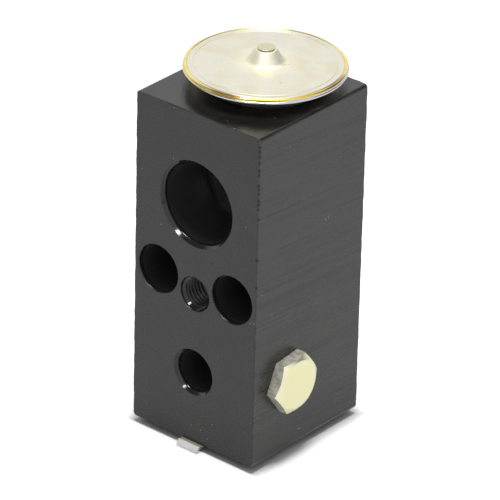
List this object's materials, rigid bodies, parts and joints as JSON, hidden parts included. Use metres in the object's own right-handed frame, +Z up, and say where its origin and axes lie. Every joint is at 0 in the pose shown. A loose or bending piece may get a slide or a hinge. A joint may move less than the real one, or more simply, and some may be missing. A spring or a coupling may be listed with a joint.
{
  "type": "expansion valve",
  "caption": "Block-type thermal expansion valve: black anodised block with tube glands, round power head on top and a hex plug on the side.",
  "frame": {"origin": "on the valve's axis, at the plane it stands on (underside of the adjusting plug)", "axes": "+Z up along the valve's axis towards the power head, -Y out of the hose face (front), +X towards the side plug"},
  "size_m": [0.0394, 0.043, 0.0923],
  "materials": {
    "black_anodised": "black anodised, fine die lines, matte",
    "plated_shell": "pale zinc-plated pressed steel, satin",
    "heat_tinted": "weld bead with golden heat tint",
    "zinc_steel": "zinc plated, satin, faint yellow",
    "stainless": "bright stainless steel",
    "bare_aluminium": "turned, bare",
    "seal_rubber": "smooth black rubber"
  },
  "bodies": {
    "valve_body": {"body_block": "black_anodised", "head_cup": "plated_shell", "head_lid": "plated_shell", "weld_bead": "heat_tinted", "diaphragm": "stainless", "charge_plug": "zinc_steel", "head_o_ring": "seal_rubber", "rod_o_ring": "seal_rubber", "seal_retainer": "stainless", "valve_spring": "stainless", "adjusting_plug": "zinc_steel", "adjusting_plug_o_ring": "seal_rubber", "lock_plate": "zinc_steel", "side_plug": "zinc_steel", "side_plug_o_ring": "seal_rubber"},
    "valve_stem": {"stop_plate": "stainless", "sensing_rod": "bare_aluminium", "push_pin": "stainless", "valve_ball": "stainless", "ball_cradle": "stainless", "damping_spring": "stainless"}
  },
  "joints": [
    {"name": "valve_lift", "type": "slide", "parent": "valve_body", "child": "valve_stem", "axis": [0, 0, -1], "range_m": [0, 0.0007], "stiffness_N_per_m": 12000, "deforming": ["valve_spring"]}
  ]
}
